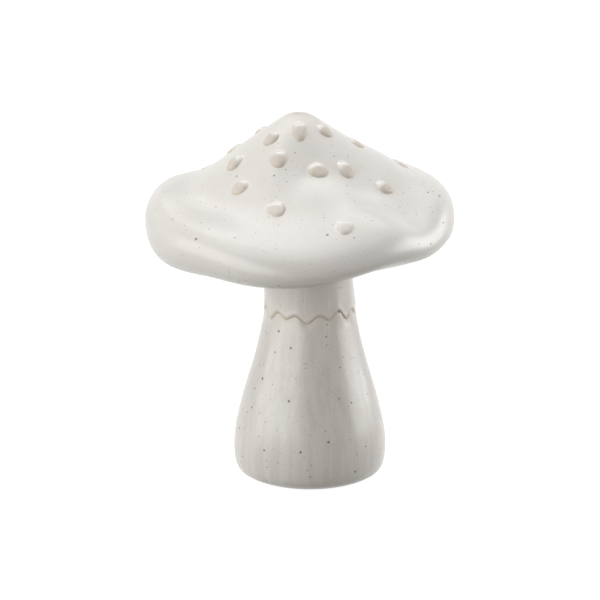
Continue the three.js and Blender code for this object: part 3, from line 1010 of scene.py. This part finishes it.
# The underside, from the foot ring to the floor inside: radii, heights, thin glaze, bare clay.
underside = np.array([
    (FOOT_R - 0.5, 0, 0, 1), (FOOT_INNER_R + 0.4, 0, 0, 1), (FOOT_INNER_R, 0.25, 0, 1),
    (FOOT_INNER_R - 0.5, RECESS_Z - 0.3, 0, 0.6), (FOOT_INNER_R - 1, RECESS_Z, 0, 0.1),
    (10, RECESS_Z, 0.1, 0), (7, RECESS_Z, 0.1, 0), (VENT_R + 0.5, RECESS_Z, 0.1, 0),
    (VENT_R + 0.1, RECESS_Z + 0.2, 0.1, 0), (VENT_R, RECESS_Z + 0.6, 0, 0), (VENT_R, FLOOR_Z, 0, 0),
    (BELLY_R - STEM_WALL - 1.8, FLOOR_Z, 0, 0),
])
stem_table = np.vstack([
    rows([(BORE_R, SEAT_Z)]),
    rows(ledge[:, :2], hem=ledge[:, 2], thin=LEDGE_THIN),
    rows(shoulder[:, :2], hem=shoulder[:, 2], thin=SHOULDER_THIN),
    rows(side, thin=FOOT_THIN * np.exp(-(side[:, 1] / FOOT_THIN_Z) ** 2),
         bare=np.clip(1 - side[:, 1] / WIPED_Z, 0, 1)),
    rows(underside[:, :2], thin=underside[:, 2], bare=underside[:, 3]),
    rows(inside),
    rows([(BORE_R, HEM_CUSP_Z + 3.5)]),
])
stem = turned("stem_body", stem_table, RING_STEPS)
grow(stem, scallop_the_hem, dict(HEM_VALUES, Glaze=stem_glaze))

# %% [markdown]
# The band is pressed round the neck. It is thin under the cap and thickens to a lip at
# the hem. The glaze gathers in the corner under the cap and runs thin over the lip,
# where a warm line follows the scallops.

# %% The band
BAND_INNER_R = 12.6
BAND_TOP_R = 13.8
BAND_R = 14.5
BAND_ROWS = np.linspace(0.08, 1, 14)
# The fillet under the cap: how far it reaches out, and how far below the joint.
BAND_FILLET = ((0.45, 0.05), (0.16, 0.4), (0.05, 1.0), (0.03, 2))
# The lip: radii, heights over the cusps, thin glaze.
BAND_LIP = ((14.6, 1.9, 0), (14.66, 1.5, 0), (14.69, 1.2, 0), (14.68, 0.97, 0.1), (14.64, 0.78, 0.2),
            (14.58, 0.6, 0.4), (14.51, 0.43, 0.6), (14.43, 0.28, 0.75), (14.36, 0.14, 0.75),
            (14.31, HEM_GAP, 0.75))
LIP_TOP = 2.4

outer = [(BAND_TOP_R + extra, JOINT_Z - drop, 0, 0) for extra, drop in BAND_FILLET]
top_r, top_z = outer[-1][:2]
for share in BAND_ROWS:
    height = top_z + (HEM_CUSP_Z + LIP_TOP - top_z) * share
    outer.append((top_r + (BAND_R - BAND_TOP_R) * share, height, share**3, 0))
outer += [(radius, HEM_CUSP_Z + above, 1, thin) for radius, above, thin in BAND_LIP]
outer += [(BAND_INNER_R, HEM_CUSP_Z + HEM_GAP, 1, 1), (BAND_INNER_R, SEAT_Z, 0, 0)]
outer = np.array(outer)
band_table = rows(outer[:, :2], hem=outer[:, 2], thin=outer[:, 3])
skirt = turned("skirt_band", band_table, RING_STEPS)
grow(skirt, scallop_the_hem, dict(HEM_VALUES, Glaze=skirt_glaze))

# %% [markdown]
# So far every piece was turned round its own axis at the origin. Their meshes now move
# to the two axes measured on the CAD model, and the objects stay at the origin. Then
# each piece is hung on the root empty, and the CAD nodes it stands for are hidden.

# %% Stand the pieces on their axes and hang them on the root
for piece, axis, nodes, slot in (
    (cap, cap_axis, ["cap"], "cap_glaze"),
    (spots, cap_axis, SPOT_NODES, "spot_glaze"),
    (stem, stem_axis, ["stem"], "stem_glaze"),
    (skirt, stem_axis, ["skirt"], "skirt_glaze"),
):
    piece.data.transform(Matrix.Translation(axis))
    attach(piece, "root")
    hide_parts(*nodes)
    triangles = sum(len(face.vertices) - 2 for face in piece.data.polygons)
    points = np.array([vertex.co for vertex in piece.data.vertices]) / MM
    print(piece.name, "triangles:", triangles, "box, mm:", points.min(0).round(2), points.max(0).round(2))

# %% [markdown]
# The photograph is a plain product picture on white. The floor shows white to the
# camera through Light Path, and still takes a faint shadow where the foot stands. To
# the lamps it is a pale grey card that throws light up under the brim.

# %% Floor and world
FLOOR_HALF = 2.5
WHITE = (1, 1, 1, 1)
FLOOR_GLOW = 0.95
FLOOR_GREY = (0.22, 0.22, 0.22, 1)
CARD = (0.31, 0.295, 0.27, 1)
WORLD_FILL = 0.02


def shown(tree):
    """1 for what the camera sees, also in a mirror or through glass, and 0 for what lights the object."""
    seen = add(tree, "ShaderNodeLightPath").outputs
    rays = plus(tree, seen["Is Camera Ray"], seen["Is Glossy Ray"], seen["Is Transmission Ray"])
    return calc(tree, "MINIMUM", rays, 1.0)


corners = [(x * FLOOR_HALF, y * FLOOR_HALF, 0) for x, y in ((-1, -1), (1, -1), (1, 1), (-1, 1))]
floor_mesh = bpy.data.meshes.new("floor")
floor_mesh.from_pydata(corners, [], [(0, 1, 2, 3)])
floor = stand("floor", floor_mesh)
floor_paint = bpy.data.materials.new("floor_paint")
floor_paint.use_nodes = True
tree = floor_paint.node_tree
tree.nodes.clear()
glow = add(tree, "ShaderNodeEmission", {"Color": WHITE, "Strength": FLOOR_GLOW})
grey = add(tree, "ShaderNodeBsdfDiffuse", {"Color": FLOOR_GREY})
white = add(tree, "ShaderNodeAddShader", {0: glow.outputs[0], 1: grey.outputs[0]})
card = add(tree, "ShaderNodeBsdfDiffuse", {"Color": CARD})
choice = add(tree, "ShaderNodeMixShader", {0: shown(tree), 1: card.outputs[0], 2: white.outputs[0]})
add(tree, "ShaderNodeOutputMaterial", {"Surface": choice.outputs[0]})
floor.data.materials.append(floor_paint)

world = bpy.data.worlds.new("white room")
bpy.context.scene.world = world
world.use_nodes = True
tree = world.node_tree
tree.nodes.clear()
strength = plus(tree, WORLD_FILL, times(tree, shown(tree), 1.0 - WORLD_FILL))
backdrop = add(tree, "ShaderNodeBackground", {"Color": WHITE, "Strength": strength})
add(tree, "ShaderNodeOutputWorld", {"Surface": backdrop.outputs[0]})
print("floor and world are set")

# %% [markdown]
# Four soft boxes light it: a wide low one at the left front, one overhead, a high one
# behind that draws a light edge on the uphill side of every spot, and a small bright one
# at the right, whose edge shows as a slanting line in the glaze of the stem.
# A box's brightness is its own radiance, so its size can be changed and its reflection
# stays as bright.

# %% Soft boxes
LAMP_DISTANCE = 1.0
LAMP_AIM = Vector((0, 0, 0.06))
# Azimuth, where 0 is the camera's side and 90 its right, elevation, width and height in metres, brightness.
SOFT_BOXES = {"left box": (-59, 10, 1.75, 0.70, 2.85), "top box": (0, 80, 1.6, 0.7, 1.25),
              "back box": (180, 65, 1.1, 0.55, 2.2), "right box": (100, 10, 0.95, 0.58, 3.95)}

for name, (azimuth, elevation, width, height, brightness) in SOFT_BOXES.items():
    turn, tilt = math.radians(azimuth), math.radians(elevation)
    away = Vector((math.sin(turn) * math.cos(tilt), -math.cos(turn) * math.cos(tilt), math.sin(tilt)))
    lamp = bpy.data.lights.new(name, "AREA")
    lamp.shape = "RECTANGLE"
    lamp.size, lamp.size_y = width, height
    lamp.energy = brightness * math.pi * width * height
    holder = stand(name, lamp)
    holder.location = LAMP_AIM + away * LAMP_DISTANCE
    holder.rotation_mode = "QUATERNION"
    holder.rotation_quaternion = (-away).to_track_quat("-Z", "Y")
    holder.visible_camera = False
print("lamps:", list(SOFT_BOXES))

# %% [markdown]
# The camera looks from the front, fifteen degrees down, from a metre away. At the
# object a millimetre is a little over three pixels wide, as in the photograph.

# %% Camera
PICTURE_MIDDLE = (-3.16, 58.1)
CAMERA_DISTANCE = 1.0
CAMERA_TILT = math.radians(15)
FOCAL_LENGTH = 187.5
SENSOR_WIDTH = 36

target = Vector((stem_axis.x + PICTURE_MIDDLE[0] * MM, cap_axis.y, PICTURE_MIDDLE[1] * MM))
lens = bpy.data.cameras.new("camera")
lens.sensor_width = SENSOR_WIDTH
lens.lens = FOCAL_LENGTH
camera = stand("camera", lens)
camera.location = target + CAMERA_DISTANCE * Vector((0, -math.cos(CAMERA_TILT), math.sin(CAMERA_TILT)))
camera.rotation_euler = (math.radians(90) - CAMERA_TILT, 0, 0)
bpy.context.scene.camera = camera
bpy.context.scene.view_settings.view_transform = "Standard"
print("camera stands at", [round(c, 3) for c in camera.location])
